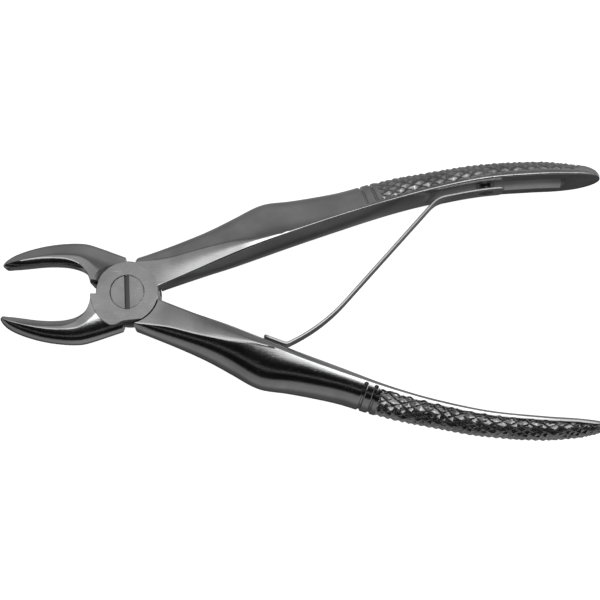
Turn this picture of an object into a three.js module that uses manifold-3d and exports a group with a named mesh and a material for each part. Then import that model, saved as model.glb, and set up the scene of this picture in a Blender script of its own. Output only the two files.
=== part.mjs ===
// Children's extraction forceps with a handle spring. Millimetres, +Z up.
// Origin: on the pivot axis, at the joint's back face. +X runs from the pivot to the handle ends.
import * as THREE from "three";
import { mergeVertices } from "three/addons/utils/BufferGeometryUtils.js";
import Module from "manifold-3d";

const wasm = await Module();
wasm.setup();

// ---- Driving dimensions -------------------------------------------------------------------
const JOINT_T = 7; // both joint plates together
const HALF_T = JOINT_T / 2;
const GAP = 0.3; // clearance between separate pieces
const PLATE_R = 6.45; // free edge of each joint plate
// Radius where each plate runs out onto its own beak, by degrees round the pivot.
const COLLAR = [[180, 7.7], [243, 7.7], [248, 7.5], [252, 7.15], [256, 6.75], [260, 6.35], [264, 6.11]];
const COLLAR_END = 264;
const SEAT_R = PLATE_R + GAP; // the shoulders' bore round the other half's plate
const BEVEL_R = 7.6; // the beak shoulder's bevelled mouth, at the face
const BEVEL_DEPTH = 0.85;
const CHORD = 5.95; // flat on the plate's edge, measured from the pivot
const CHORD_TURN = -83; // its direction, in degrees
const HANDLE_WALL = 76.7; // handle root's end wall, degrees round the pivot
const BEAK_WALL = 262.7; // beak root's opening wall
const CLOSING_WALL = { front: 183.2, back: 193.6 }; // beak root's closing wall
const BEAK_ROOT_R = 12; // the closing wall reaches this far out

const PIVOT = { headR: 3.45, headT: 1.5, shankR: 2.5, slotW: 1.05, slotT: 0.8, slotTurn: 93.4 };

// Handle: inner edge line y(x), depth from that line out to the crown, width in Z.
const HANDLE_INNER = [
  [0, -1.25], [10, 2.78], [25, 8.85], [36, 13.05], [46, 16.55], [56, 19.75],
  [64, 21.9], [74, 23.9], [85, 24.9], [92, 25.25], [99, 25.8],
];
const HANDLE_DEPTH = [
  [0, 7.85], [8, 7.65], [15, 7.6], [20, 7.8], [25, 8.4], [29, 9.0], [31.5, 8.95], [36, 7.8],
  [41, 6.85], [46, 6.2], [52, 6.05], [57, 5.9], [63, 5.4], [74, 4.95], [85, 4.6], [90, 4.1],
  [94, 3.4], [97, 2.4], [98.6, 1.3], [98.95, 0.7],
];
const HANDLE_WIDTH = [
  [0, 7], [7, 7], [10.5, 8.1], [15, 9.8], [20, 12.1], [25, 13.8], [30, 14.4], [46, 14.4],
  [58, 13.7], [74, 14.8], [85, 15], [91, 14.3], [95, 12.3], [97.4, 8.8], [98.6, 4.6], [98.95, 1.6],
];
// Share of the depth that stays a flat side before the outer face rounds over.
const HANDLE_FLAT = [
  [0, 0.92], [4, 0.85], [10, 0.62], [16, 0.5], [22, 0.34], [28, 0.14], [34, 0.04], [50, 0.04],
  [58, 0.16], [90, 0.18], [99, 0.3],
];
// Inner face: how much higher its middle line stands than its edges.
const HANDLE_CROWN = [[0, 0], [9, 0], [20, 0.9], [26, 1], [44, 1], [60, 0.1], [99, 0]];
const HANDLE_END = 98.95;
const NOSE_START = 91.8; // the handle's rounded end begins here
const GROOVES = { places: [49.7, 51.7], halfW: 0.55, depth: 0.4 };
// Hollow along the inner face: depth in the middle, and the share of it lost at the edges.
const CHANNEL = { start: 61.5, full: 65.5, end: 91.5, halfW: 3.5, depth: 1.1, rise: 0.88 };

// Beak: inner edge, outer crown and width at each station from root to tip. Handle side up,
// so the beak lies below the X axis.
const BEAK = [
  [-6.5, 0.2, 0.8, -7.3, 6.8],
  [-7.5, -0.8, -3.3, -8.75, 6.8],
  [-7.85, -2.3, -6.4, -9.85, 6.6],
  [-8.6, -3.95, -8.9, -10.6, 6.3],
  [-10.2, -5.1, -11.0, -10.8, 5.9],
  [-12.4, -5.6, -13.4, -10.72, 5.6],
  [-15.2, -5.8, -16.1, -10.42, 5.4],
  [-18.2, -5.7, -19.0, -9.85, 5.3],
  [-21.2, -5.35, -22.0, -8.95, 5.2],
  [-23.8, -5.05, -24.3, -7.95, 5.1],
  [-25.4, -5.0, -25.7, -6.95, 4.7],
  [-26.15, -5.2, -26.25, -6.25, 3.8],
  [-26.4, -5.45, -26.42, -5.9, 2.4],
];
// Hollow in the beak's inner face: its depth, and the table rows where it starts and ends.
const BEAK_HOLLOW = { depth: 0.7, start: 3.5, full: 5.5, fade: 9.2, end: 10.8 };
const BEAK_FLAT = 0.22; // as HANDLE_FLAT, for the beak

// Leaf spring: corners of its centreline with their bend radii, from the clamped end to the toe.
const LEAF = { t: 0.5, w: 5.8, standOff: 0.98 };
const LEAF_END_X = 78.4;
const LEAF_SPLIT_X = 66.4; // where the clamped root ends and the swinging arm begins
const LEAF_BEND = { x: 64.1, r: 5 };
const LEAF_BOW = { x: 40.6, y: -6.3, r: 36 };
const LEAF_HEEL = { x: 33.1, y: -10.25, r: 1.3 };
const LEAF_TOE = { x: 28.4, y: -8.55 };
const CLAMP_X = 74.8;
// Countersunk screw through the leaf, into a round boss on the channel's floor.
const CLAMP = { headR: 1.6, shankR: 1.0, shankL: 3.2, slotW: 0.5, slotT: 0.22 };
const BOSS = { r: 1.95, root: 0.5 };

// ---- Small tools ---------------------------------------------------------------------------
const rad = THREE.MathUtils.degToRad;
const polar = (r, turn) => [r * Math.cos(rad(turn)), r * Math.sin(rad(turn))];

// A smooth curve through the rows of a table, read at x: every column after the first.
function read(table, x) {
  const last = table.length - 1;
  let i = 0;
  while (i < last - 1 && x > table[i + 1][0]) i++;
  const [a, b] = [table[i], table[i + 1]];
  const before = table[Math.max(i - 1, 0)];
  const after = table[Math.min(i + 2, last)];
  const h = b[0] - a[0];
  const u = Math.min(Math.max((x - a[0]) / h, 0), 1);
  return a.slice(1).map((start, k) => {
    const end = b[k + 1];
    const m0 = ((end - before[k + 1]) / (b[0] - before[0])) * h;
    const m1 = ((after[k + 1] - start) / (after[0] - a[0])) * h;
    const rise = end - start;
    return start + u * (m0 + u * (3 * rise - 2 * m0 - m1 + u * (m0 + m1 - 2 * rise)));
  });
}

const CUT = 20; // half-height of a cut that runs right through
const REACH = 40; // radius of a cut that clears everything

const steps = (from, to, n) => Array.from({ length: n + 1 }, (_, i) => from + ((to - from) * i) / n);

function solidOf(geometry) {
  const bare = geometry.clone();
  bare.deleteAttribute("normal");
  bare.deleteAttribute("uv");
  const merged = mergeVertices(bare, 1e-4);
  return new wasm.Manifold(
    new wasm.Mesh({
      numProp: 3,
      vertProperties: merged.attributes.position.array,
      triVerts: new Uint32Array(merged.index.array),
    }),
  );
}

function geometryOf(solid) {
  const mesh = solid.getMesh();
  const geometry = new THREE.BufferGeometry();
  geometry.setAttribute("position", new THREE.BufferAttribute(mesh.vertProperties, 3));
  geometry.setIndex(new THREE.BufferAttribute(mesh.triVerts, 1));
  return geometry;
}

function signedVolume(points, faces) {
  return faces.reduce((sum, [a, b, c]) => sum + points[a].dot(points[b].clone().cross(points[c])) / 6, 0);
}

// A closed skin over rings of equal length, with a fan at each end.
function skin(rings) {
  const n = rings[0].length;
  const points = rings.flat();
  const faces = [];
  for (let r = 0; r < rings.length - 1; r++)
    for (let k = 0; k < n; k++) {
      const [a, b] = [r * n + k, r * n + ((k + 1) % n)];
      faces.push([a, b, b + n], [a, b + n, a + n]);
    }
  for (const [ring, flip] of [[0, true], [rings.length - 1, false]]) {
    const middle = rings[ring].reduce((sum, p) => sum.add(p), new THREE.Vector3()).divideScalar(n);
    points.push(middle);
    for (let k = 0; k < n; k++) {
      const [a, b] = [ring * n + k, ring * n + ((k + 1) % n)];
      faces.push(flip ? [points.length - 1, b, a] : [points.length - 1, a, b]);
    }
  }
  if (signedVolume(points, faces) < 0) faces.forEach((f) => f.reverse());
  const geometry = new THREE.BufferGeometry();
  geometry.setAttribute(
    "position",
    new THREE.Float32BufferAttribute(points.flatMap((p) => p.toArray()), 3),
  );
  geometry.setIndex(faces.flat());
  return solidOf(geometry);
}

// Round about the pivot axis, from radius r0 at the low end to r1 at the high end.
function cone(r0, r1, low, high, sides = 64) {
  const geometry = new THREE.CylinderGeometry(r1, r0, high - low, sides);
  geometry.rotateX(Math.PI / 2).translate(0, 0, (low + high) / 2);
  return solidOf(geometry);
}

const cylinder = (r, low, high, sides) => cone(r, r, low, high, sides);

function prism(outline, low, high) {
  const shape = new THREE.Shape(outline.map(([x, y]) => new THREE.Vector2(x, y)));
  const geometry = new THREE.ExtrudeGeometry(shape, { depth: high - low, bevelEnabled: false });
  return solidOf(geometry.translate(0, 0, low));
}

// A cut right through, between two directions round the pivot.
function wedge(from, to, reach) {
  const rim = steps(from, to, 6).map((turn) => polar(reach, turn));
  return prism([[0, 0], ...rim], -CUT, CUT);
}

// ---- Cross-sections ------------------------------------------------------------------------
const ARC_STEPS = 7;
const INNER_SHARES = [0.86, 0.7];
const LIP = 0.01; // half the run of the channel's lip, as a share of the width

// Outline of a bar: [share of width, height], from the inner face round over the crown.
// floor(share) is the inner face's own height across the width.
function outline(halfW, depth, flat, floor, channelShare) {
  const edge = flat * depth;
  const arc = steps(0, Math.PI / 2, ARC_STEPS).map((a) => [
    halfW * Math.cos(a),
    edge + (depth - edge) * Math.sin(a),
  ]);
  const hollow = [1 + LIP / channelShare, 1 - LIP / channelShare, 0.68, 0.34];
  const shares = [...INNER_SHARES, ...hollow.map((share) => share * channelShare)];
  const inner = [1, ...shares].map((share) => [halfW * share, floor(share)]);
  const right = [...inner.reverse(), ...arc];
  const left = right.slice(0, -1).reverse().map(([w, h]) => [-w, h]);
  return [[0, floor(0)], ...right, ...left];
}

// ---- Handle --------------------------------------------------------------------------------
function channelDepth(x) {
  if (x < CHANNEL.start || x > CHANNEL.end) return 0;
  const u = Math.min((x - CHANNEL.start) / (CHANNEL.full - CHANNEL.start), 1);
  return CHANNEL.depth * u * u * (3 - 2 * u);
}

function grooveDepth(x) {
  const near = Math.min(...GROOVES.places.map((place) => Math.abs(x - place)));
  return GROOVES.depth * Math.max(0, 1 - near / GROOVES.halfW);
}

function handleStations() {
  const nose = HANDLE_END - NOSE_START;
  const ends = steps(0, Math.PI / 2, 6).map((a) => NOSE_START + nose * Math.sin(a));
  const grooves = GROOVES.places.flatMap((place) => [-1, 0, 1].map((k) => place + k * GROOVES.halfW));
  const runIn = steps(CHANNEL.start, CHANNEL.full, 3);
  const channel = [...steps(70, 88, 4), CHANNEL.end - 0.01, CHANNEL.end + 0.12];
  return [...steps(0, 28, 14), ...steps(30, 48, 9), ...grooves, 54, 58, ...runIn, ...channel, ...ends];
}

// The inner edge point, its direction and the outward normal at x.
function handleFrame(x) {
  const [y] = read(HANDLE_INNER, x);
  const step = 0.05;
  const slope = (read(HANDLE_INNER, x + step)[0] - read(HANDLE_INNER, x - step)[0]) / (2 * step);
  const length = Math.hypot(1, slope);
  return { x, y, along: [1 / length, slope / length], out: [-slope / length, 1 / length] };
}

function handleRing(x) {
  const { y, out } = handleFrame(x);
  const halfW = read(HANDLE_WIDTH, x)[0] / 2;
  const depth = read(HANDLE_DEPTH, x)[0] - grooveDepth(x);
  const crown = read(HANDLE_CROWN, x)[0];
  const channelShare = Math.min(CHANNEL.halfW / halfW, 0.5);
  const cut = channelDepth(x);
  const floor = (share) =>
    (share < channelShare ? cut * (1 - CHANNEL.rise * (share / channelShare) ** 2) : 0)
    - crown * (1 - share ** 2);
  return outline(halfW, depth, read(HANDLE_FLAT, x)[0], floor, channelShare).map(
    ([w, h]) => new THREE.Vector3(x + out[0] * h, y + out[1] * h, w),
  );
}

// ---- Beak ----------------------------------------------------------------------------------
function beakRing(place) {
  const rows = BEAK.map((row, i) => [i, ...row]);
  const [ix, iy, ox, oy, width] = read(rows, place);
  const depth = Math.hypot(ox - ix, oy - iy);
  const { smoothstep } = THREE.MathUtils;
  const fade = 1 - smoothstep(place, BEAK_HOLLOW.fade, BEAK_HOLLOW.end);
  const hollow = BEAK_HOLLOW.depth * smoothstep(place, BEAK_HOLLOW.start, BEAK_HOLLOW.full) * fade;
  const floor = (share) => hollow * (1 - share ** 2);
  return outline(width / 2, depth, BEAK_FLAT, floor, 0.5).map(([w, h]) => {
    const u = h / depth;
    return new THREE.Vector3(ix + (ox - ix) * u, iy + (oy - iy) * u, w);
  });
}

// ---- One half of the forceps ---------------------------------------------------------------
// The joint plate's edge: its flat, its round and the collar over its own beak.
function plateEdge(closingWall) {
  const collar = steps(closingWall, COLLAR_END, 18).map((turn) => polar(read(COLLAR, turn)[0], turn));
  const free = steps(COLLAR_END, closingWall + 360, 48).map((turn) => {
    const facing = Math.cos(rad(turn - CHORD_TURN));
    return polar(facing > CHORD / PLATE_R ? CHORD / facing : PLATE_R, turn);
  });
  return [...collar, ...free.slice(1)];
}

// Modelled with its plate on the +Z side of the middle plane, its handle above the X axis and
// its beak below it.
function half(closingWall) {
  const split = GAP / 2; // the plate's inner face, above the middle plane
  const seat = cylinder(SEAT_R, -CUT, split);
  const mouth = -HALF_T - GAP / 2;
  const bevelled = seat.add(cone(BEVEL_R + GAP / 2, SEAT_R, mouth, -HALF_T + BEVEL_DEPTH));

  const corners = [[-REACH, REACH], [-REACH, -REACH], [0, -REACH]];
  const behind = prism([[0, 0], polar(REACH, HANDLE_WALL), ...corners], -CUT, CUT);
  const handle = skin(handleStations().map(handleRing)).subtract(seat).subtract(behind);
  const walls = wedge(closingWall - 60, closingWall, BEAK_ROOT_R).add(wedge(BEAK_WALL, BEAK_WALL + 60, REACH));
  const stations = steps(0, BEAK.length - 1, 2 * BEAK.length);
  const beak = skin(stations.map(beakRing)).subtract(bevelled).subtract(walls);
  return prism(plateEdge(closingWall), split, HALF_T).add(handle).add(beak);
}

// The frame's height: the middle plane of the joint sits half the joint's thickness up.
const lift = (geometry) => geometry.translate(0, 0, HALF_T);

// A round bar along the clamp screw's axis, between two heights from the handle's inner edge
// line; r is its radius at the low end, topR at the high end.
function clampBar(r, low, high, topR = r) {
  const { y, out } = handleFrame(CLAMP_X);
  const geometry = new THREE.CylinderGeometry(topR, r, high - low, 32);
  geometry.rotateZ(Math.atan2(-out[0], out[1]));
  const middle = (low + high) / 2;
  return solidOf(geometry.translate(CLAMP_X + out[0] * middle, y + out[1] * middle, 0));
}

// The leaf's two faces at the clamp, as heights from the handle's inner edge line.
const LEAF_LOW = -LEAF.standOff - LEAF.t / 2;
const LEAF_HIGH = -LEAF.standOff + LEAF.t / 2;

function frontHalf() {
  const bore = cylinder(PIVOT.shankR + GAP, -CUT, CUT);
  const head = cylinder(PIVOT.headR + GAP, HALF_T - PIVOT.headT - GAP, CUT);
  const boss = clampBar(BOSS.r, LEAF_HIGH + GAP, CHANNEL.depth + BOSS.root);
  const clampHole = clampBar(CLAMP.shankR + GAP, LEAF_LOW, LEAF_LOW + CLAMP.shankL + GAP);
  const body = half(CLOSING_WALL.front).subtract(bore).subtract(head);
  return lift(geometryOf(body.add(boss).subtract(clampHole)));
}

function backHalf() {
  const bore = cylinder(PIVOT.shankR + GAP, -CUT, CUT);
  const geometry = geometryOf(half(CLOSING_WALL.back).subtract(bore));
  return lift(geometry.rotateX(Math.PI));
}

// ---- Screws --------------------------------------------------------------------------------
const OVERLAP = 0.05; // how far two joined bodies run into each other

function pivotScrew() {
  const head = cylinder(PIVOT.headR, HALF_T - PIVOT.headT, HALF_T, 48);
  const shank = cylinder(PIVOT.shankR, -HALF_T, HALF_T - PIVOT.headT + OVERLAP, 48);
  const slot = new THREE.BoxGeometry(3 * PIVOT.headR, PIVOT.slotW, 2 * PIVOT.slotT);
  slot.rotateZ(rad(PIVOT.slotTurn)).translate(0, 0, HALF_T);
  return lift(geometryOf(head.add(shank).subtract(solidOf(slot))));
}

function springScrew() {
  const head = clampBar(CLAMP.headR, LEAF_LOW, LEAF_HIGH, CLAMP.shankR);
  const shank = clampBar(CLAMP.shankR, LEAF_HIGH - OVERLAP, LEAF_LOW + CLAMP.shankL);
  const { y, out } = handleFrame(CLAMP_X);
  const slot = new THREE.BoxGeometry(3 * CLAMP.headR, 2 * CLAMP.slotT, CLAMP.slotW);
  slot.rotateZ(Math.atan2(-out[0], out[1]));
  slot.translate(CLAMP_X + out[0] * LEAF_LOW, y + out[1] * LEAF_LOW, 0);
  return lift(geometryOf(head.add(shank).subtract(solidOf(slot))));
}

// ---- Leaf spring ---------------------------------------------------------------------------
const clampedPoint = (x) => {
  const { y, out } = handleFrame(x);
  return [x - out[0] * LEAF.standOff, y - out[1] * LEAF.standOff];
};

// Points along a polyline whose corners are rounded: corners are [x, y, radius].
function roundedPath(corners) {
  const path = [corners[0].slice(0, 2)];
  for (let i = 1; i < corners.length - 1; i++) {
    const [x, y, r] = corners[i];
    const back = new THREE.Vector2(corners[i - 1][0] - x, corners[i - 1][1] - y).normalize();
    const ahead = new THREE.Vector2(corners[i + 1][0] - x, corners[i + 1][1] - y).normalize();
    const halfAngle = Math.acos(back.dot(ahead)) / 2;
    const middle = back.clone().add(ahead).normalize().multiplyScalar(r / Math.sin(halfAngle));
    const turn = Math.PI - 2 * halfAngle;
    const side = Math.sign(back.cross(ahead));
    const start = Math.atan2(-middle.y, -middle.x);
    for (const a of steps(-turn / 2, turn / 2, 8))
      path.push([
        x + middle.x + r * Math.cos(start - side * a),
        y + middle.y + r * Math.sin(start - side * a),
      ]);
  }
  path.push(corners.at(-1).slice(0, 2));
  return path;
}

// The strip between two distances from a centreline, of the leaf's thickness and width.
function strip(path, width) {
  const side = (sign) =>
    path.map(([x, y], i) => {
      const [x0, y0] = path[Math.max(i - 1, 0)];
      const [x1, y1] = path[Math.min(i + 1, path.length - 1)];
      const length = Math.hypot(x1 - x0, y1 - y0);
      const reach = (sign * LEAF.t) / 2 / length;
      return [x - (y1 - y0) * reach, y + (x1 - x0) * reach];
    });
  return prism([...side(1), ...side(-1).reverse()], -width / 2, width / 2);
}

function springRoot() {
  const path = steps(LEAF_SPLIT_X, LEAF_END_X, 5).map(clampedPoint);
  const [low, high] = [LEAF_LOW - OVERLAP, LEAF_HIGH + OVERLAP];
  const hole = clampBar(CLAMP.headR + GAP, low, high, CLAMP.shankR + GAP);
  return lift(geometryOf(strip(path, LEAF.w).subtract(hole)));
}

function springArm() {
  const from = clampedPoint(LEAF_SPLIT_X - GAP);
  const bend = clampedPoint(LEAF_BEND.x);
  const path = roundedPath([
    from,
    [...bend, LEAF_BEND.r],
    [LEAF_BOW.x, LEAF_BOW.y, LEAF_BOW.r],
    [LEAF_HEEL.x, LEAF_HEEL.y, LEAF_HEEL.r],
    [LEAF_TOE.x, LEAF_TOE.y],
  ]);
  return lift(geometryOf(strip(path, LEAF.w)));
}

// ---- The assembly --------------------------------------------------------------------------
function piece(name, geometry, color, roughness) {
  const material = new THREE.MeshStandardMaterial({ color, roughness, metalness: 1 });
  const mesh = new THREE.Mesh(geometry, material);
  mesh.name = name;
  return mesh;
}

const group = new THREE.Group();
group.add(
  piece("front_half", frontHalf(), 0x9a9a9c, 0.28),
  piece("back_half", backHalf(), 0x9a9a9c, 0.28),
  piece("pivot_screw", pivotScrew(), 0x8e8e90, 0.35),
  piece("spring_root", springRoot(), 0xa6a6a8, 0.3),
  piece("spring_arm", springArm(), 0xa6a6a8, 0.3),
  piece("spring_screw", springScrew(), 0x8e8e90, 0.35),
);

export default group;
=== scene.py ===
import math

import bpy
import numpy as np
from mathutils import Matrix, Vector


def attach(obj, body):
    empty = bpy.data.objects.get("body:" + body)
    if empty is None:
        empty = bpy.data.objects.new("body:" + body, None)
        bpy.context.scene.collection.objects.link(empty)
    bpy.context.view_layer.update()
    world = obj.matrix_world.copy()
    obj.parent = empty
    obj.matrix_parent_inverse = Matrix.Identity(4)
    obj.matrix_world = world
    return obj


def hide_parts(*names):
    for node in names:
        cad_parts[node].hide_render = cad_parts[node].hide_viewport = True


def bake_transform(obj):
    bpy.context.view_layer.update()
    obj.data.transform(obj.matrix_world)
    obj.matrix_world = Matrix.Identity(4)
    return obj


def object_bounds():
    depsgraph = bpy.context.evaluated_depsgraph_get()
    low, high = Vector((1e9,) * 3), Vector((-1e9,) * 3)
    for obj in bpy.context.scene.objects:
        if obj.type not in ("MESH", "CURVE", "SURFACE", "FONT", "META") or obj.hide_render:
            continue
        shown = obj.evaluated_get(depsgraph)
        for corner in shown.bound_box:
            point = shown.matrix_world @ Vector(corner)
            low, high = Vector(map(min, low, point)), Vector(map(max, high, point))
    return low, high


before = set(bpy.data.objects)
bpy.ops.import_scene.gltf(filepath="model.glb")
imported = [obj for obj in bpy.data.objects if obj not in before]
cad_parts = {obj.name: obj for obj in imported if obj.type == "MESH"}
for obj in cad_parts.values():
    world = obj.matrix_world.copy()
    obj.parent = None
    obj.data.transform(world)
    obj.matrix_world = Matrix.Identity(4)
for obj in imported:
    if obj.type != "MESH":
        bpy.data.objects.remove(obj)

CAD_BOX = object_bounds()

# ---- Dimensions, millimetres ----------------------------------------------------------------------
# They follow the CAD model, with finer edges and grooves and a closer seat round the joint.
# The halves are modelled with the joint's middle plane at z = 0 and lifted by HALF_T at the end.
HALF_T = 3.5
PLATE_R = 6.45
SEAT_R = 6.62
# Radius where each plate runs out onto its own beak, by degrees round the pivot.
COLLAR = [(180, 7.7), (243, 7.7), (248, 7.5), (252, 7.15), (256, 6.75), (260, 6.35), (264, 6.11)]
COLLAR_END = 264
BEVEL_R = 7.6  # the beak shoulder's bevelled mouth
BEVEL_DEPTH = 0.85
CHORD = 5.95
CHORD_TURN = -83
HANDLE_WALL = 76.7  # the roots' end walls, in degrees round the pivot
BEAK_WALL = 262.7
CLOSING_WALL = {"front": 183.2, "back": 193.6}
BEAK_ROOT_R = 12  # the closing wall reaches this far out
SPLIT = 0.15  # each plate's inner face, above the middle plane
PIVOT_HEAD_R = 3.45
PIVOT_HEAD_T = 1.5
PIVOT_SHANK_R = 2.5
PIVOT_SLOT = (1.05, 0.8, 93.4)  # width, depth, turn in degrees
PIVOT_GAP = 0.13
BORE_GAP = 0.3
EASE = 0.12  # chamfer on the plates' rims and on the pivot's tail

HANDLE_INNER = [(0, -1.25), (10, 2.78), (25, 8.85), (36, 13.05), (46, 16.55), (56, 19.75),
                (64, 21.9), (74, 23.9), (85, 24.9), (92, 25.25), (99, 25.8)]
HANDLE_DEPTH = [(0, 7.85), (8, 7.65), (15, 7.6), (20, 7.8), (25, 8.4), (29, 9.0), (31.5, 8.95),
                (36, 7.8), (41, 6.85), (46, 6.2), (52, 6.05), (57, 5.9), (63, 5.4), (74, 4.95),
                (85, 4.6), (90, 4.1), (94, 3.4), (97, 2.4), (98.6, 1.3), (98.95, 0.7)]
HANDLE_WIDTH = [(0, 7), (7, 7), (10.5, 8.1), (15, 9.8), (20, 12.1), (25, 13.8), (30, 14.4),
                (46, 14.4), (58, 13.7), (74, 14.8), (85, 15), (91, 14.3), (95, 12.3), (97.4, 8.8),
                (98.6, 4.6), (98.95, 1.6)]
# Share of the depth that stays a flat side, and how far that side bulges.
HANDLE_FLAT = [(0, 0.92), (4, 0.85), (10, 0.62), (16, 0.5), (22, 0.34), (28, 0.14), (34, 0.04),
               (50, 0.03), (58, 0.04), (90, 0.07), (99, 0.3)]
SIDE_SWELL = [(0, 0), (6, 0.02), (12, 0.1), (26, 0.12), (36, 0.02), (99, 0)]
# How much higher the inner face's middle line stands than its edges.
HANDLE_CROWN = [(0, 0), (9, 0), (20, 0.9), (26, 1), (44, 1), (60, 0.1), (99, 0)]
# Per half: radius along the inner edge, and degrees skipped where the outer face starts, so that
# it meets the side in a crease.
HANDLE_EDGE = {
    "front": [(0, 0.15), (12, 0.3), (26, 0.4), (34, 0.22), (60, 0.25), (78, 0.4), (97, 0.3), (98.95, 0.12)],
    "back": [(0, 0.15), (12, 0.35), (30, 0.6), (46, 0.6), (60, 0.5), (97, 0.3), (98.95, 0.12)],
}
HANDLE_CREASE = {
    "front": [(0, 26), (22, 27), (30, 25), (46, 25), (56, 12), (99, 0)],
    "back": [(0, 26), (22, 27), (28, 22), (36, 9), (56, 5), (99, 0)],
}
HANDLE_END = 98.95
NOSE_START = 91.8
GROOVES = (49.7, 51.7)
GROOVE_HALF_W = 0.42
GROOVE_DEPTH = 0.38
CHANNEL_START, CHANNEL_FULL, CHANNEL_END = 61.5, 65.5, 91.5
CHANNEL_HALF_W = 3.5
CHANNEL_DEPTH = 1.1
CHANNEL_RISE = 0.88
KNURL_FROM, KNURL_TO = 52.8, {"front": 95.4, "back": 98.0}
KNURL_LENGTH, KNURL_WIDTH = 2.65, 1.9  # a diamond's two diagonals
KNURL_DEPTH = 0.68
# Per half: the smooth border left between the knurl and the inner edge.
KNURL_MARGIN = {"front": [(50, 0.6), (72, 0.7), (80, 0.9), (99, 1.2)],
                "back": [(50, 0.8), (70, 0.85), (85, 0.9), (99, 1.0)]}
KNURL_SEED = {"front": 0.4, "back": 2.1}

# Inner edge (x, y), outer crown (x, y) and width, from root to tip.
BEAK = [(-6.5, 0.2, 0.8, -7.3, 6.8), (-7.5, -0.8, -3.3, -8.75, 6.8), (-7.85, -2.3, -6.4, -9.85, 6.6),
        (-8.6, -3.95, -8.9, -10.6, 6.3), (-10.2, -5.1, -11.0, -10.8, 5.9),
        (-12.4, -5.6, -13.4, -10.72, 5.6), (-15.2, -5.8, -16.1, -10.42, 5.4),
        (-18.2, -5.7, -19.0, -9.85, 5.3), (-21.2, -5.35, -22.0, -8.95, 5.2),
        (-23.8, -5.05, -24.3, -7.95, 5.1), (-25.4, -5.0, -25.7, -6.95, 4.7),
        (-26.15, -5.2, -26.25, -6.25, 3.8), (-26.4, -5.45, -26.42, -5.9, 2.4)]
BEAK_HOLLOW = (0.7, 3.5, 5.5, 9.2, 10.8)  # depth, then the rows it starts, is full, fades and ends
BEAK_CHAMFER = (0.55, 1.5)  # along the inner edge: across the width, and up the side
BEAK_FLAT = 0.42
BEAK_CREASE = 26

LEAF_T, LEAF_W, LEAF_OFF = 0.5, 5.8, 0.98
LEAF_CORNER_R, LEAF_EDGE = 0.9, 0.13  # its ends' rounded corners, and its rounded long edges
LEAF_END_X = 78.4
LEAF_BEND = (64.1, 5.0)
LEAF_BOW = (40.6, -6.3, 36.0)
LEAF_HEEL = (33.1, -10.25, 1.3)
LEAF_TOE = (28.4, -8.55)
CLAMP_X = 74.8
CLAMP_HEAD_R, CLAMP_SHANK_R, CLAMP_SHANK_L = 1.6, 1.0, 3.2
CLAMP_SLOT_W, CLAMP_SLOT_T = 0.5, 0.22
BOSS_R = 1.95
BOSS_ROOT = 0.5


# ---- Curves ---------------------------------------------------------------------------------------
def read(table, x):
    """A smooth curve through the rows of a table, read at x: every column after the first."""
    last = len(table) - 1
    i = 0
    while i < last - 1 and x > table[i + 1][0]:
        i += 1
    a, b = np.array(table[i], float), np.array(table[i + 1], float)
    before, after = np.array(table[max(i - 1, 0)], float), np.array(table[min(i + 2, last)], float)
    h = b[0] - a[0]
    u = min(max((x - a[0]) / h, 0), 1)
    m0 = (b - before)[1:] / (b[0] - before[0]) * h
    m1 = (after - a)[1:] / (after[0] - a[0]) * h
    rise = (b - a)[1:]
    return a[1:] + u * (m0 + u * (3 * rise - 2 * m0 - m1 + u * (m0 + m1 - 2 * rise)))


def smooth(x, low, high):
    u = np.clip((x - low) / (high - low), 0, 1)
    return u * u * (3 - 2 * u)


def polar(r, turn):
    return np.array([r * math.cos(math.radians(turn)), r * math.sin(math.radians(turn))])


def handle_frame(x):
    y = read(HANDLE_INNER, x)[0]
    slope = (read(HANDLE_INNER, x + 0.05)[0] - read(HANDLE_INNER, x - 0.05)[0]) / 0.1
    length = math.hypot(1, slope)
    return y, np.array([1, slope]) / length, np.array([-slope, 1]) / length


# ---- Cross-sections -------------------------------------------------------------------------------
INNER_POINTS, EDGE_POINTS = 9, 5
HANDLE_POINTS, BEAK_POINTS = 84, 40  # round the outer face, from edge to crown
LIP = 0.25  # half the run of the channel's lip


def resample(points, n):
    gaps = np.hypot(*np.diff(points, axis=0).T)
    along = np.concatenate([[0], np.cumsum(gaps)])
    at = np.linspace(0, along[-1], n)
    return np.stack([np.interp(at, along, points[:, k]) for k in (0, 1)], 1)


def outline(half_w, depth, flat, floor, channel_w, ease, outer_points, crease, swell=0.0, chamfer=False):
    """Half of a bar's outline, from the middle of its inner face round to the crown: [width, height],
    and how many of its points come before the outer face. The corner between the inner face and the
    side is cut back by ease: (across, up)."""
    edge_r, edge_h = min(ease[0], half_w * 0.3), min(ease[1], depth * 0.4)
    shares = np.concatenate([
        np.linspace(0, channel_w - LIP, INNER_POINTS),
        np.linspace(channel_w + LIP, half_w - edge_r, INNER_POINTS),
    ]) / half_w
    inner = np.stack([shares * half_w, floor(shares)], 1)
    flat_h = max(flat * depth, edge_h)
    corner = np.array([half_w, float(floor(np.array([1.0]))[0])])
    u = np.linspace(0, 1, EDGE_POINTS + 2)[1:-1, None]
    end = corner + [0, edge_h]
    turn = corner if not chamfer else inner[-1] + (end - inner[-1]) * (0.5, 0.32)
    fillet = (1 - u) ** 2 * inner[-1] + 2 * u * (1 - u) * turn + u ** 2 * end
    skipped = math.radians(crease)
    a = np.linspace(skipped, math.pi / 2, 160)
    arc = np.stack([half_w * np.cos(a) / math.cos(skipped),
                    flat_h + (depth - flat_h) * (np.sin(a) - math.sin(skipped)) / (1 - math.sin(skipped))], 1)
    rise = np.linspace(0, 1, 30)[:, None]
    wall = end + (arc[0] - end) * rise
    wall[:, 0] += swell * np.sin(math.pi * rise[:, 0])
    outer = resample(np.concatenate([wall, arc[1:]]), outer_points)
    return np.concatenate([inner, fillet, outer]), len(inner) + len(fillet)


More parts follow.
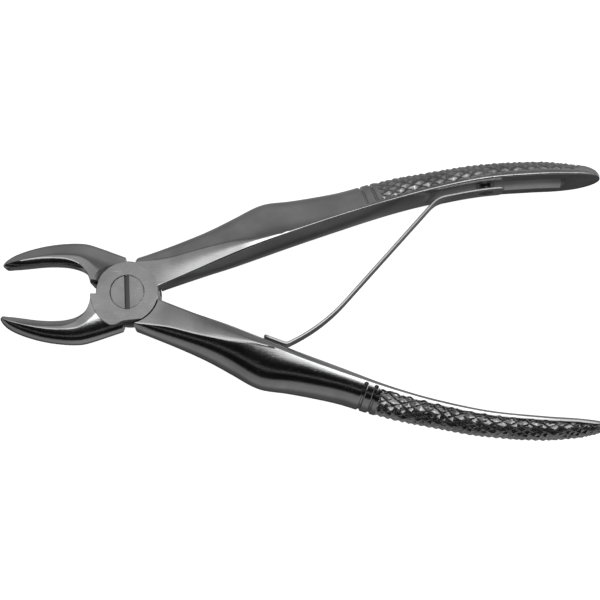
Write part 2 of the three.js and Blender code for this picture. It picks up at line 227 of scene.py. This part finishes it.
def whole(half):
    """The other side mirrored on: a closed ring, starting in the middle of the inner face."""
    return np.concatenate([half, (half * [-1, 1])[-2:0:-1]])


def knurl(x, along, seed):
    """Depth share of the cut at a point: crossed V-cuts of uneven depth between pointed teeth."""
    wander = 0.05 * np.sin(0.9 * x + 0.7 * along + seed) + 0.035 * np.sin(2.3 * x - 1.9 * along + 2 * seed)
    p, q = x / KNURL_LENGTH + wander, along / KNURL_WIDTH
    cuts = []
    for lines, phase in ((p + q, 0.0), (p - q, 1.3)):
        off = np.abs(lines - np.round(lines)) * 2
        deep = 0.86 + 0.14 * np.sin(1.7 * np.round(lines) + seed + phase)
        cuts.append(np.clip(1.06 - off, 0, 1) * deep)
    return np.maximum(cuts[0], cuts[1])


def handle_ring(x, which):
    """The handle's section at x as points in space, and the depth share of the knurl at each."""
    seed = KNURL_SEED[which]
    y, _, out = handle_frame(x)
    half_w = read(HANDLE_WIDTH, x)[0] / 2
    depth = read(HANDLE_DEPTH, x)[0]
    crown = read(HANDLE_CROWN, x)[0]
    channel_w = min(CHANNEL_HALF_W, half_w * 0.5)
    inside = CHANNEL_START < x < CHANNEL_END
    cut = CHANNEL_DEPTH * smooth(x, CHANNEL_START, CHANNEL_FULL) if inside else 0.0

    def floor(share):
        hollow = np.where(share * half_w < channel_w,
                          cut * (1 - CHANNEL_RISE * np.minimum(share * half_w / channel_w, 1) ** 2), 0)
        return hollow - crown * (1 - share ** 2)

    points, first = outline(half_w, depth, read(HANDLE_FLAT, x)[0], floor, channel_w,
                            read(HANDLE_EDGE[which], x).repeat(2), HANDLE_POINTS,
                            read(HANDLE_CREASE[which], x)[0], read(SIDE_SWELL, x)[0])
    outer = points[first:]
    tangent = np.gradient(outer, axis=0)
    normal = np.stack([tangent[:, 1], -tangent[:, 0]], 1) / (np.hypot(*tangent.T)[:, None] + 1e-9)
    gaps = np.hypot(*np.diff(outer, axis=0).T)
    along = np.concatenate([[0], np.cumsum(gaps)])
    from_crown = along[-1] - along
    near = min(abs(x - g) for g in GROOVES)
    groove = GROOVE_DEPTH * (0.5 + 0.5 * math.cos(math.pi * min(near / GROOVE_HALF_W, 1)))
    ring = groove * smooth(along, 0.1, 0.9)
    mask = smooth(x, KNURL_FROM, KNURL_FROM + 0.35) * (1 - smooth(x, KNURL_TO[which] - 2.2, KNURL_TO[which]))
    wavy = 0.2 * math.sin(x * 2.1 + seed) + 0.12 * math.sin(x * 4.7)
    margin = read(KNURL_MARGIN[which], x)[0] + wavy
    mask = mask * smooth(along, margin - 0.2, margin + 0.3)
    sides = []
    for side in (1, -1):
        deep = knurl(x, side * from_crown, seed) * mask
        moved = outer - normal * (ring + KNURL_DEPTH * deep)[:, None]
        sides.append((np.concatenate([points[:first], moved]),
                      np.concatenate([np.zeros(first), deep])))
    (right, right_deep), (left, left_deep) = sides
    w, h = np.concatenate([right, (left * [-1, 1])[-2:0:-1]]).T
    ring_points = np.stack([x + out[0] * h, y + out[1] * h, w], 1)
    return ring_points, np.concatenate([right_deep, left_deep[-2:0:-1]])


def handle_stations(which):
    nose = HANDLE_END - NOSE_START
    ends = NOSE_START + nose * np.sin(np.linspace(0, math.pi / 2, 26))
    fine = np.arange(KNURL_FROM, KNURL_TO[which], 0.17)
    coarse = np.concatenate([np.arange(0, 48.9, 0.6), np.arange(48.9, KNURL_FROM, 0.12)])
    exact = [CHANNEL_END - 0.02, CHANNEL_END + 0.05]
    every = np.unique(np.round(np.concatenate([coarse, fine, ends[ends > KNURL_TO[which]], exact]), 4))
    return [x for x in every if x in exact or min(abs(x - e) for e in exact) > 0.05]


# ---- Meshes ---------------------------------------------------------------------------------------
def mesh_object(name, verts, faces, material, deep=None):
    mesh = bpy.data.meshes.new(name)
    mesh.from_pydata([tuple(v) for v in np.asarray(verts) * 0.001], [], faces)
    obj = bpy.data.objects.new(name, mesh)
    bpy.context.scene.collection.objects.link(obj)
    if material is not None:
        mesh.materials.append(material)
    if deep is not None:
        cut = mesh.attributes.new("cut", "FLOAT", "POINT")
        cut.data.foreach_set("value", np.asarray(deep, dtype=np.float32))
    return obj


def skin(name, rings, material=None, deep=None):
    """A closed skin over rings of equal length, with a fan at each end."""
    rings = np.asarray(rings, float)
    count, n, _ = rings.shape
    verts = np.concatenate([rings.reshape(-1, 3), rings[:1].mean(1), rings[-1:].mean(1)])
    at = np.arange(count * n).reshape(count, n)
    turn = np.roll(at, -1, axis=1)
    quads = np.stack([at[:-1], turn[:-1], turn[1:], at[1:]], -1).reshape(-1, 4)
    low = np.stack([np.full(n, count * n), turn[0], at[0]], -1)
    high = np.stack([np.full(n, count * n + 1), at[-1], turn[-1]], -1)
    tri = np.concatenate([quads[:, [0, 1, 2]], quads[:, [0, 2, 3]], low, high])
    a, b, c = verts[tri[:, 0]], verts[tri[:, 1]], verts[tri[:, 2]]
    volume = np.einsum("ij,ij->i", a, np.cross(b, c)).sum()
    faces = quads.tolist() + low.tolist() + high.tolist()
    if volume < 0:
        faces = [f[::-1] for f in faces]
    if deep is not None:
        deep = np.concatenate([np.asarray(deep).ravel(), [0, 0]])
    return mesh_object(name, verts, faces, material, deep)


def lathe(name, profile, material=None, sides=160):
    """Profile of (radius, z) from the axis round and back to the axis, turned about Z."""
    turn = np.linspace(0, 2 * math.pi, sides, endpoint=False)
    rings = [np.stack([r * np.cos(turn), r * np.sin(turn), np.full(sides, z)], 1) for r, z in profile]
    return skin(name, rings, material)


def prism(name, points, low, high, material=None):
    points = [tuple(p) for p in points]
    if sum(a[0] * b[1] - b[0] * a[1] for a, b in zip(points, points[1:] + points[:1])) < 0:
        points.reverse()
    n = len(points)
    verts = [(x, y, low) for x, y in points] + [(x, y, high) for x, y in points]
    faces = [list(range(n))[::-1], list(range(n, 2 * n))]
    faces += [[i, (i + 1) % n, n + (i + 1) % n, n + i] for i in range(n)]
    return mesh_object(name, verts, faces, material)


def apply(obj):
    bpy.context.view_layer.update()
    graph = bpy.context.evaluated_depsgraph_get()
    mesh = bpy.data.meshes.new_from_object(obj.evaluated_get(graph))
    obj.modifiers.clear()
    old, obj.data = obj.data, mesh
    bpy.data.meshes.remove(old)


def boolean(obj, other, operation):
    """Joins, cuts or meets obj with other, and removes other."""
    modifier = obj.modifiers.new("cut", "BOOLEAN")
    modifier.object, modifier.operation, modifier.solver = other, operation, "MANIFOLD"
    apply(obj)
    bpy.data.objects.remove(other)
    return obj


def finish_shape(obj, material, angle=26):
    """One material all over, and smooth shading that keeps crisp edges, with the large faces leading."""
    mesh = obj.data
    mesh.materials.clear()
    mesh.materials.append(material)
    mesh.polygons.foreach_set("material_index", np.zeros(len(mesh.polygons), dtype=np.int32))
    mesh.shade_smooth()
    mesh.set_sharp_from_angle(angle=math.radians(angle))
    modifier = obj.modifiers.new("normals", "WEIGHTED_NORMAL")
    modifier.keep_sharp, modifier.weight = True, 60
    apply(obj)
    return obj


def paint(obj, material, chosen):
    """Gives the faces whose centres (millimetres) and normals are chosen another material."""
    faces = obj.data.polygons
    centre, normal = np.empty(3 * len(faces)), np.empty(3 * len(faces))
    faces.foreach_get("center", centre)
    faces.foreach_get("normal", normal)
    index = np.empty(len(faces), dtype=np.int32)
    faces.foreach_get("material_index", index)
    obj.data.materials.append(material)
    index[chosen(centre.reshape(-1, 3) * 1000, normal.reshape(-1, 3))] = len(obj.data.materials) - 1
    faces.foreach_set("material_index", index)
    return obj


def clamp_matrix():
    """Where the spring's screw sits: on the inner edge line, its +Z pointing out of the inner face."""
    y, along, out = handle_frame(CLAMP_X)
    z = Vector((-out[0], -out[1], 0))
    x = Vector((along[0], along[1], 0))
    turn = Matrix((x, z.cross(x), z)).transposed().to_4x4()
    return Matrix.Translation(Vector((CLAMP_X, y, 0)) * 0.001) @ turn


LEAF_LOW = -LEAF_OFF - LEAF_T / 2  # the leaf's two faces, as heights from the handle's inner edge
LEAF_HIGH = -LEAF_OFF + LEAF_T / 2


# ---- Materials ------------------------------------------------------------------------------------
def node(tree, kind, inputs=(), **settings):
    made = tree.nodes.new(kind)
    for key, value in settings.items():
        setattr(made, key, value)
    for key, value in dict(inputs).items():
        if isinstance(value, bpy.types.NodeSocket):
            tree.links.new(value, made.inputs[key])
        else:
            made.inputs[key].default_value = value
    return made


def noise(tree, vector, scale, detail=3.0, rough=0.5, stretch=None):
    if stretch is not None:
        vector = node(tree, "ShaderNodeVectorMath", {0: vector, 1: stretch}, operation="MULTIPLY").outputs[0]
    return node(tree, "ShaderNodeTexNoise",
                {"Vector": vector, "Scale": scale, "Detail": detail, "Roughness": rough}).outputs["Fac"]


def spread(tree, value, low, high, to_low, to_high):
    settings = {"Value": value, "From Min": low, "From Max": high, "To Min": to_low, "To Max": to_high}
    return node(tree, "ShaderNodeMapRange", settings).outputs[0]


def maths(tree, operation, a, b):
    return node(tree, "ShaderNodeMath", {0: a, 1: b}, operation=operation).outputs[0]


def steel(name, base, roughness, grain=(1, 9, 9), grain_scale=900, grain_bump=0.02, wave=0.05, cut=False):
    """Polished stainless steel: uneven hand polish and tone, hairlines along grain, small scratches, and with
    cut set a darker, rougher base colour in the knurl's deep cuts.
    """
    material = bpy.data.materials.new(name)
    material.use_nodes = True
    tree = material.node_tree
    shader = tree.nodes["Principled BSDF"]
    shader.inputs["Metallic"].default_value = 1.0
    place = node(tree, "ShaderNodeTexCoord").outputs["Object"]
    hair = noise(tree, place, grain_scale, 4.0, 0.65, grain)
    cloud = noise(tree, place, 140, 3.0, 0.55)
    swell = noise(tree, place, 60, 2.0, 0.4)
    nick = spread(tree, noise(tree, place, 520, 2.0, 0.6, (1, 3.5, 2)), 0.68, 0.74, 0.0, 1.0)

    dark = tuple(v * 0.8 for v in base) + (1,)
    mixed = node(tree, "ShaderNodeMix", {0: spread(tree, cloud, 0.35, 0.65, 0.0, 1.0), 6: dark,
                                         7: tuple(base) + (1,)}, data_type="RGBA").outputs[2]
    rough = maths(tree, "ADD", spread(tree, cloud, 0.3, 0.7, roughness * 0.75, roughness * 1.25),
                  spread(tree, hair, 0.3, 0.7, -0.03, 0.05))
    rough = maths(tree, "ADD", rough, maths(tree, "MULTIPLY", nick, 0.1))
    if cut:
        # Base colour darker and rougher where the knurl's cut is deep, following the cut depth.
        deep = node(tree, "ShaderNodeAttribute", attribute_name="cut").outputs["Fac"]
        low = node(tree, "ShaderNodeRGB").outputs[0]
        low.default_value = (0.14, 0.14, 0.14, 1)
        cut_darkening = spread(tree, deep, 0.3, 1.0, 0.0, 0.72)
        mixed = node(tree, "ShaderNodeMix", {0: cut_darkening, 6: mixed, 7: low}, data_type="RGBA").outputs[2]
        rough = maths(tree, "ADD", rough, maths(tree, "MULTIPLY", cut_darkening, 0.25))
    tree.links.new(mixed, shader.inputs["Base Color"])
    tree.links.new(rough, shader.inputs["Roughness"])

    waves = node(tree, "ShaderNodeBump", {"Height": swell, "Strength": 1.0, "Distance": wave * 0.001})
    hairs = node(tree, "ShaderNodeBump", {"Height": hair, "Strength": 0.5, "Distance": grain_bump * 0.001,
                                          "Normal": waves.outputs[0]})
    nicks = node(tree, "ShaderNodeBump", {"Height": nick, "Strength": 0.35, "Distance": -0.00001,
                                          "Normal": hairs.outputs[0]})
    tree.links.new(nicks.outputs[0], shader.inputs["Normal"])
    return material


STEEL = (0.64, 0.64, 0.645)
forged = steel("forged_steel", STEEL, 0.1, wave=0.12, cut=True)
turned = steel("turned_steel", (0.58, 0.58, 0.585), 0.17, grain=(9, 1, 9), grain_bump=0.012, wave=0.02)
# Painted shade: a dark steel for the deep screw slot, darker than the head round it.
slot_painted_shade = steel("slot_shade_paint", (0.15, 0.15, 0.15), 0.42, grain=(9, 1, 9))
ground_steel = steel("ground_bevel", (0.5, 0.5, 0.505), 0.42)
# Painted shade: near-black steel for the joint's inner faces, the back plate's rim and the slot's wall, for
# the shadow narrow gaps hold.
painted_gap_shade = steel("joint_faces", (0.06, 0.06, 0.06), 0.5)
screw_dark = steel("clamp_steel", (0.3, 0.3, 0.3), 0.3, grain_bump=0.012, wave=0.02)
strip_steel = steel("spring_strip", (0.72, 0.72, 0.725), 0.33, grain=(2, 2, 12), grain_bump=0.015, wave=0.02)


# ---- The two halves -------------------------------------------------------------------------------
BIG = 40.0  # reach of a cut that clears everything
BEVEL_MOUTH = BEVEL_R + 0.35


def wedge(start, end, reach):
    rim = [polar(reach, t) for t in np.linspace(start, end, 12)]
    return prism("wedge", [(0, 0), *rim], -BIG / 2, BIG / 2)


def make_handle(which):
    rings, deeps = zip(*(handle_ring(x, which) for x in handle_stations(which)))
    return skin("handle", rings, forged, deeps)


def make_beak():
    rows = [(i, *row) for i, row in enumerate(BEAK)]
    most, start, full, fade, end = BEAK_HOLLOW
    rings = []
    for place in np.concatenate([np.linspace(0, 10, 61), np.linspace(10, 12, 22)[1:]]):
        ix, iy, ox, oy, width = read(rows, place)
        depth = math.hypot(ox - ix, oy - iy)
        hollow = most * smooth(place, start, full) * (1 - smooth(place, fade, end))
        ease = 0.3 + (np.array(BEAK_CHAMFER) - 0.3) * smooth(place, 2.5, 5.5)
        half, _ = outline(width / 2, depth, BEAK_FLAT, lambda s: hollow * (1 - s ** 2), width / 4,
                          ease, BEAK_POINTS, BEAK_CREASE, chamfer=True)
        ring = whole(half)
        u = ring[:, 1] / depth
        rings.append(np.stack([ix + (ox - ix) * u, iy + (oy - iy) * u, ring[:, 0]], 1))
    return skin("beak", rings, forged)


def make_plate(closing_wall):
    """The joint plate with its flat and the collar over its own beak, its top edge eased."""
    collar = np.linspace(closing_wall, COLLAR_END, 60)
    free = np.linspace(COLLAR_END, closing_wall + 360, 240)[1:]
    facing = np.cos(np.radians(free - CHORD_TURN))
    flat = np.where(facing > CHORD / PLATE_R, CHORD / np.maximum(facing, 0.5), PLATE_R)
    r = np.concatenate([[read(COLLAR, t)[0] for t in collar], flat])
    edge = np.array([polar(1, t) for t in np.concatenate([collar, free])])
    rings = [np.column_stack([edge * (r - ease)[:, None], np.full(len(r), z)])
             for ease, z in ((0, SPLIT), (0, HALF_T - EASE), (EASE, HALF_T))]
    return skin("plate", rings)


def make_half(name, which):
    closing_wall = CLOSING_WALL[which]
    handle = make_handle(which)
    seat = lathe("seat", [(0, -BIG), (SEAT_R, -BIG), (SEAT_R, SPLIT), (0, SPLIT)])
    boolean(handle, seat, "DIFFERENCE")
    behind = [(0, 0), polar(BIG, HANDLE_WALL), (-BIG, BIG), (-BIG, -BIG), (0, -BIG)]
    boolean(handle, prism("behind", behind, -BIG, BIG), "DIFFERENCE")
    beak = make_beak()
    slope = [(BEVEL_MOUTH + (SEAT_R - BEVEL_MOUTH) * u, -HALF_T - 0.05 + (BEVEL_DEPTH + 0.15) * u ** 1.3)
             for u in np.linspace(0, 1, 10)]
    bevel = lathe("bevel", [(0, -BIG), (BEVEL_MOUTH, -BIG), *slope, (SEAT_R, SPLIT), (0, SPLIT)])
    boolean(beak, bevel, "DIFFERENCE")
    boolean(beak, wedge(closing_wall - 60, closing_wall, BEAK_ROOT_R), "DIFFERENCE")
    boolean(beak, wedge(BEAK_WALL, BEAK_WALL + 60, BIG), "DIFFERENCE")
    for part in (make_plate(closing_wall), beak):
        boolean(handle, part, "UNION")
    handle.name = name
    return handle


def move(obj, matrix):
    obj.data.transform(matrix)
    return obj


LIFT = Matrix.Translation((0, 0, HALF_T * 0.001))

front = make_half("front_forging", "front")
bore_r = PIVOT_SHANK_R + BORE_GAP
boolean(front, lathe("bore", [(0, -BIG), (bore_r, -BIG), (bore_r, BIG), (0, BIG)]), "DIFFERENCE")
recess_r, recess_z = PIVOT_HEAD_R + PIVOT_GAP, HALF_T - PIVOT_HEAD_T - BORE_GAP
recess = [(0, recess_z), (recess_r, recess_z), (recess_r, HALF_T - 0.06), (recess_r + 0.08, HALF_T + 0.02),
          (recess_r + 0.08, BIG), (0, BIG)]
boolean(front, lathe("recess", recess), "DIFFERENCE")
boss_low, boss_top = -CHANNEL_DEPTH - BOSS_ROOT, -LEAF_HIGH - BORE_GAP
boss = [(0, boss_low), (BOSS_R, boss_low), (BOSS_R, boss_top - 0.1), (BOSS_R - 0.1, boss_top), (0, boss_top)]
boolean(front, move(lathe("boss", boss, sides=64), clamp_matrix()), "UNION")
hole_r = CLAMP_SHANK_R + 0.2
hole = [(0, -CLAMP_SHANK_L), (hole_r, -CLAMP_SHANK_L), (hole_r, 3), (0, 3)]
boolean(front, move(lathe("hole", hole, sides=64), clamp_matrix()), "DIFFERENCE")


def joint_faces(centre, normal):
    """The plate's inner face, the bore through it and the seat's round wall, which get painted shade."""
    r, z = np.hypot(centre[:, 0], centre[:, 1]), centre[:, 2]
    return (z < SPLIT + 0.02) & (r < SEAT_R + 0.03) & ((normal[:, 2] < -0.9) | (z > -HALF_T))


def bevel_faces(centre, normal):
    """The bevel round the mouth of the beak's shoulder."""
    r, z = np.hypot(centre[:, 0], centre[:, 1]), centre[:, 2]
    inward = np.einsum("ij,ij->i", centre[:, :2], normal[:, :2]) < -0.25 * r
    return (r > SEAT_R + 0.04) & (r < BEVEL_MOUTH + 0.05) & inward & (z < -HALF_T + 1.1) & (centre[:, 0] < 2)


def back_rim(centre, normal):
    """The back plate's rim and the wall where its beak's root begins: always in shadow."""
    r = np.hypot(centre[:, 0], centre[:, 1])
    turn = np.degrees(np.arctan2(centre[:, 1], centre[:, 0])) % 360
    rim = (abs(r - PLATE_R) < 0.1) & (abs(normal[:, 2]) < 0.3) & (turn > COLLAR_END)
    from_wall = turn - CLOSING_WALL["back"]
    wall = (abs(from_wall) < 0.4) & (r < BEAK_ROOT_R)
    corner = (from_wall > -8.6) & (from_wall < 6.5) & (r < BEVEL_MOUTH + 0.05)
    return rim | ((wall | corner) & (centre[:, 2] < SPLIT))


def finish_half(half, place, shadowed=None):
    """Gives a half its steels, near-black painted shade on its joint faces and on any shadowed faces, and
    puts it in its place.
    """
    finish_shape(half, forged)
    paint(half, ground_steel, bevel_faces)
    # Painted shade on the plate's inner face, bore and seat wall.
    paint(half, painted_gap_shade, joint_faces)
    # Painted shade on the faces named as always in shadow, where given.
    if shadowed:
        paint(half, painted_gap_shade, shadowed)
    move(half, place)


finish_half(front, LIFT)

back = make_half("back_forging", "back")
tail_r = PIVOT_SHANK_R + PIVOT_GAP
bore = [(0, -BIG), (bore_r, -BIG), (bore_r, HALF_T - 0.7), (tail_r, HALF_T - 0.6), (tail_r, BIG), (0, BIG)]
boolean(back, lathe("bore", bore), "DIFFERENCE")
finish_half(back, LIFT @ Matrix.Rotation(math.pi, 4, "X"), back_rim)

# ---- Screws ---------------------------------------------------------------------------------------
slot_w, slot_t, slot_turn = PIVOT_SLOT
head_low = HALF_T - PIVOT_HEAD_T
pivot = lathe("pivot", [(0, -HALF_T), (PIVOT_SHANK_R - EASE, -HALF_T), (PIVOT_SHANK_R, -HALF_T + EASE),
                        (PIVOT_SHANK_R, head_low), (PIVOT_HEAD_R, head_low), (PIVOT_HEAD_R, HALF_T - 0.1),
                        (PIVOT_HEAD_R - 0.1, HALF_T), (0, HALF_T)], turned)
along = polar(PIVOT_HEAD_R + 1, slot_turn)
across = polar(slot_w / 2, slot_turn + 90)
boolean(pivot, prism("slot", [along + across, across - along, -along - across, along - across],
                     HALF_T - slot_t, HALF_T + 1), "DIFFERENCE")
dimple = [(0, -HALF_T - 1), (1.5, -HALF_T - 1), (0.55, -HALF_T), (0, -HALF_T + 0.5)]
boolean(pivot, lathe("dimple", dimple, sides=48), "DIFFERENCE")
pivot.name = "pivot_screw_fine"


def in_slot(centre):
    return np.abs(centre[:, :2] @ across) < slot_w / 2 * np.hypot(*across) * 1.02


def slot_faces(centre, normal):
    r, z = np.hypot(centre[:, 0], centre[:, 1]), centre[:, 2]
    return in_slot(centre) & (z < HALF_T - 0.02) & (z > HALF_T - slot_t - 0.05) & (r < PIVOT_HEAD_R - 0.02)


def shaded_wall(centre, normal):
    return in_slot(centre) & (centre[:, 2] > HALF_T - slot_t) & (normal[:, 0] > 0.9)


finish_shape(pivot, turned)
# Painted shade in the screw slot, and near-black painted shade on its wall facing +X.
paint(pivot, slot_painted_shade, slot_faces)
paint(pivot, painted_gap_shade, shaded_wall)
move(pivot, LIFT)

low, high = -LEAF_HIGH, -LEAF_LOW
clamp = lathe("clamp", [(0, low - CLAMP_SHANK_L + LEAF_T), (CLAMP_SHANK_R, low - CLAMP_SHANK_L + LEAF_T),
                        (CLAMP_SHANK_R, low), (CLAMP_HEAD_R, high - 0.05), (CLAMP_HEAD_R - 0.05, high),
                        (0, high)], turned, sides=72)
half_slot, reach = CLAMP_SLOT_W / 2, CLAMP_HEAD_R + 1.4
slot = [(-reach, -half_slot), (reach, -half_slot), (reach, half_slot), (-reach, half_slot)]
boolean(clamp, prism("slot", slot, high - CLAMP_SLOT_T, high + 1), "DIFFERENCE")
clamp.name = "spring_screw_fine"
move(finish_shape(clamp, screw_dark), LIFT @ clamp_matrix())


# ---- Leaf spring ----------------------------------------------------------------------------------
def clamped_point(x):
    y, _, out = handle_frame(x)
    return np.array([x - out[0] * LEAF_OFF, y - out[1] * LEAF_OFF])


def rounded_path(corners, n):
    path = [np.array(corners[0][:2], float)]
    for i in range(1, len(corners) - 1):
        here, r = np.array(corners[i][:2], float), corners[i][2]
        back_way = np.array(corners[i - 1][:2], float) - here
        ahead = np.array(corners[i + 1][:2], float) - here
        back_way, ahead = back_way / np.hypot(*back_way), ahead / np.hypot(*ahead)
        half_angle = math.acos(float(back_way @ ahead)) / 2
        middle = (back_way + ahead) / np.hypot(*(back_way + ahead)) * r / math.sin(half_angle)
        turn = math.pi - 2 * half_angle
        side = math.copysign(1, back_way[0] * ahead[1] - back_way[1] * ahead[0])
        start = math.atan2(-middle[1], -middle[0])
        for a in start - side * np.linspace(-turn / 2, turn / 2, n):
            path.append(here + middle + r * np.array([math.cos(a), math.sin(a)]))
    path.append(np.array(corners[-1][:2], float))
    return path


def leaf_path():
    clamped = [clamped_point(x) for x in np.linspace(LEAF_END_X, LEAF_BEND[0] + 2.2, 26)]
    bend = clamped_point(LEAF_BEND[0])
    rest = rounded_path([clamped[-1], (*bend, LEAF_BEND[1]), LEAF_BOW, LEAF_HEEL, LEAF_TOE], 22)
    return np.array(clamped + rest[1:])


def make_leaf():
    path = leaf_path()
    gaps = np.hypot(*np.diff(path, axis=0).T)
    along = np.concatenate([[0], np.cumsum(gaps)])
    total = along[-1]
    ends = LEAF_CORNER_R * (1 - np.cos(np.linspace(0, math.pi / 2, 9)))
    at = np.unique(np.round(np.concatenate([ends, np.arange(1.2, total - 1.2, 0.35), total - ends]), 4))
    points = np.stack([np.interp(at, along, path[:, k]) for k in (0, 1)], 1)
    tangent = np.gradient(points, axis=0)
    tangent /= np.hypot(*tangent.T)[:, None]
    normal = np.stack([-tangent[:, 1], tangent[:, 0]], 1)
    rings = []
    for p, n, s in zip(points, normal, at):
        short = max(0.0, 1 - min(s, total - s) / LEAF_CORNER_R)
        half_w = LEAF_W / 2 - LEAF_CORNER_R * (1 - math.sqrt(max(0.0, 1 - short ** 2)))
        corners = []
        for sw, st in ((1, 1), (-1, 1), (-1, -1), (1, -1)):
            for a in np.linspace(0, math.pi / 2, 4):
                a0 = a if sw * st > 0 else math.pi / 2 - a
                corners.append((sw * (half_w - LEAF_EDGE * (1 - math.cos(a0))),
                                st * (LEAF_T / 2 - LEAF_EDGE * (1 - math.sin(a0)))))
        rings.append([(p[0] + n[0] * t, p[1] + n[1] * t, w) for w, t in corners])
    return skin("leaf_spring", rings, strip_steel)


leaf = make_leaf()
mouth_r = CLAMP_HEAD_R + 0.12
sink = [(0, low - 0.3), (CLAMP_SHANK_R + 0.1, low - 0.3), (CLAMP_SHANK_R + 0.15, low),
        (mouth_r, high), (mouth_r, high + 0.3), (0, high + 0.3)]
boolean(leaf, move(lathe("hole", sink, sides=64), clamp_matrix()), "DIFFERENCE")
move(finish_shape(leaf, strip_steel, 40), LIFT)

# ---- Which body each piece rides on ---------------------------------------------------------------
for piece, body, stands_for, slot in (
    (front, "front_half", "front_half", "forged_steel"),
    (back, "back_half", "back_half", "forged_steel"),
    (pivot, "back_half", "pivot_screw", "screw_steel"),
    (clamp, "front_half", "spring_screw", "screw_steel"),
):
    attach(piece, body)
    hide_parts(stands_for)
bend_x, bend_y = clamped_point(LEAF_BEND[0] + 2) * 0.001
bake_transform(leaf)
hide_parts("spring_root", "spring_arm")

# ---- Floor, light and camera ----------------------------------------------------------------------
scene = bpy.context.scene
scene.view_settings.view_transform = "Standard"

floor_z = CAD_BOX[0].z - 0.0001
bpy.ops.mesh.primitive_plane_add(size=6, location=(0.03, 0, floor_z))
ground = bpy.context.object
ground.name = "floor"
ground.visible_glossy = False
paper = bpy.data.materials.new("paper")
paper.use_nodes = True
tree = paper.node_tree
tree.nodes.remove(tree.nodes["Principled BSDF"])
lit = node(tree, "ShaderNodeBsdfDiffuse", {"Color": (0.9, 0.9, 0.9, 1)})
glow = node(tree, "ShaderNodeEmission", {"Color": (1, 1, 1, 1), "Strength": 0.86})
both = node(tree, "ShaderNodeAddShader", {0: lit.outputs[0], 1: glow.outputs[0]})
tree.links.new(both.outputs[0], tree.nodes["Material Output"].inputs[0])
ground.data.materials.append(paper)

world = bpy.data.worlds.new("studio")
scene.world = world
world.use_nodes = True
tree = world.node_tree
background = tree.nodes["Background"]
way = node(tree, "ShaderNodeSeparateXYZ", {0: node(tree, "ShaderNodeTexCoord").outputs["Generated"]})
# The studio as bands round the X axis: degrees from straight up towards +Y, and brightness.
BANDS = [
    (-180, 0.1), (-172, 0.08), (-163, 0.04), (-152, 0.09), (-132, 0.11), (-112, 0.27), (-82, 0.22),
    (-79, 0.008), (-55, 0.008), (-52, 0.2), (-49, 0.008), (-33, 0.01), (-24, 0.06), (-17, 1.1), (-5, 1.2),
    (3, 0.75), (9, 0.44), (18, 0.4), (28, 0.3), (36, 0.16), (44, 0.15), (56, 0.27), (90, 0.27),
    (125, 0.2), (158, 0.3), (166, 0.3), (180, 0.1),
]
turn = maths(tree, "ARCTAN2", way.outputs["Y"], way.outputs["Z"])
at = maths(tree, "MULTIPLY_ADD", turn, 1 / (2 * math.pi))
at.node.inputs[2].default_value = 0.5
ramp = node(tree, "ShaderNodeValToRGB", {"Fac": at})
stops = ramp.color_ramp.elements
for degrees, bright in BANDS[1:-1]:
    stop = stops.new((degrees + 180) / 360)
    stop.color = (bright, bright, bright, 1)
for stop, (_, bright) in zip((stops[0], stops[-1]), (BANDS[0], BANDS[-1])):
    stop.color = (bright, bright, bright, 1)
side = spread(tree, way.outputs["X"], -0.35, 0.2, 0.92, 1.1)
shade = node(tree, "ShaderNodeVectorMath", {0: ramp.outputs["Color"], 1: side}, operation="MULTIPLY")
eye = node(tree, "ShaderNodeLightPath").outputs["Is Camera Ray"]
seen = node(tree, "ShaderNodeMix", {0: eye, 6: shade.outputs[0], 7: (1, 1, 1, 1)}, data_type="RGBA")
tree.links.new(seen.outputs[2], background.inputs["Color"])

lamp = bpy.data.objects.new("softbox", bpy.data.lights.new("softbox", "AREA"))
lamp.data.shape, lamp.data.size, lamp.data.energy = "SQUARE", 0.35, 0.5
lamp.location = (0.1, -0.1, 0.9)
lamp.rotation_euler = (Vector((0.03, 0, 0)) - lamp.location).to_track_quat("-Z", "Y").to_euler()
scene.collection.objects.link(lamp)

TILT, ROLL = math.radians(9.9), math.radians(0.67)
behind_camera = Vector((math.sin(TILT) * math.sin(ROLL), -math.sin(TILT) * math.cos(ROLL), math.cos(TILT)))
right = Vector((math.cos(ROLL), math.sin(ROLL), 0))
camera = bpy.data.objects.new("camera", bpy.data.cameras.new("camera"))
camera.data.lens, camera.data.sensor_width = 72.6, 36
camera.data.clip_start, camera.data.clip_end = 0.01, 20
turned_to = Matrix((right, behind_camera.cross(right), behind_camera)).transposed().to_4x4()
camera.matrix_world = Matrix.Translation((0.03622, -0.04417, 0.2527)) @ turned_to
scene.collection.objects.link(camera)
scene.camera = camera
